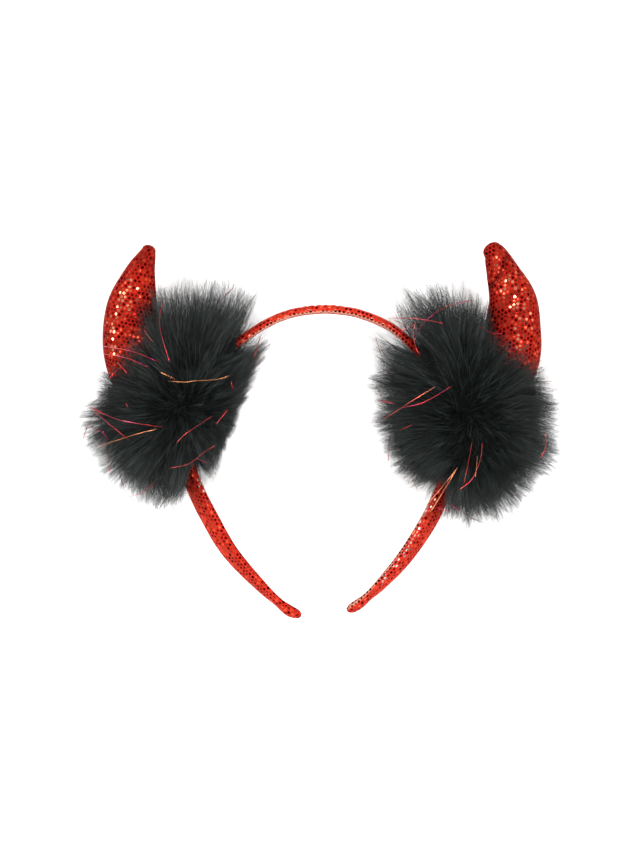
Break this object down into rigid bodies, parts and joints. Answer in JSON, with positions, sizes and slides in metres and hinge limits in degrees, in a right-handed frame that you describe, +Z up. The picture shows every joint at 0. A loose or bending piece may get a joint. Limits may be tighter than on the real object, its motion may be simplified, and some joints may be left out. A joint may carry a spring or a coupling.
{
  "type": "devil horns headband",
  "caption": "U-shaped fabric-covered headband with curved stuffed horns and a deep fur puff at each shoulder, worn over the crown of the head.",
  "frame": {"origin": "on the surface that it lies on, under the middle of the headband's bounding box", "axes": "+X from the horn on the left to the horn on the right as seen from above, +Y from the open ends of the band to its crown, +Z up, out of the band's plane"},
  "size_m": [0.2051, 0.162, 0.0641],
  "materials": {
    "red_foil_fabric": "satin",
    "black_fur": "matte",
    "red_tinsel": "gloss"
  },
  "bodies": {
    "root": {"headband": "red_foil_fabric", "horn_left": "red_foil_fabric", "horn_right": "red_foil_fabric", "fur_puff_left": "black_fur", "fur_puff_right": "black_fur"}
  },
  "joints": []
}
